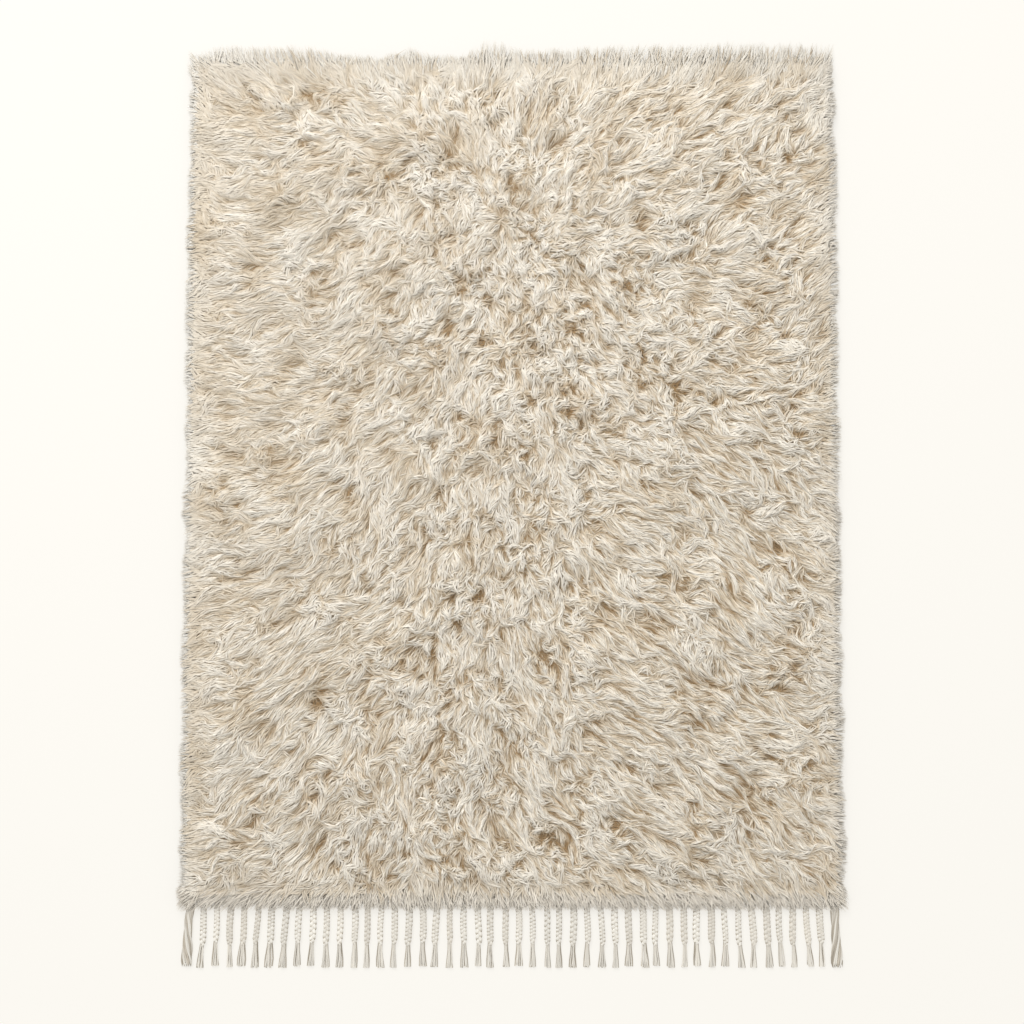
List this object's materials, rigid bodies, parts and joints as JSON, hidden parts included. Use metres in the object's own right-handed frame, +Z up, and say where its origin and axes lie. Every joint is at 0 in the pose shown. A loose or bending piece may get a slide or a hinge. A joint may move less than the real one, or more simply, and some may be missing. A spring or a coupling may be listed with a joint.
{
  "type": "long pile wool rug",
  "caption": "Plain cream wool rug with a deep tufted pile and a plaited fringe along one end, lying flat.",
  "frame": {"origin": "on the floor, under the middle of the whole rug with its fringe", "axes": "+X to the right and +Y towards the plain end, seen from above with the fringe nearest; +Z up from the floor"},
  "size_m": [1.4, 1.93, 0.0443],
  "materials": {
    "pile_wool": "undyed cream wool in long, soft, matt strands",
    "fringe_wool": "undyed wool yarn, tightly plaited, with loose ends"
  },
  "bodies": {
    "root": {"pile_field": "pile_wool", "plaited_fringe": "fringe_wool"}
  },
  "joints": []
}
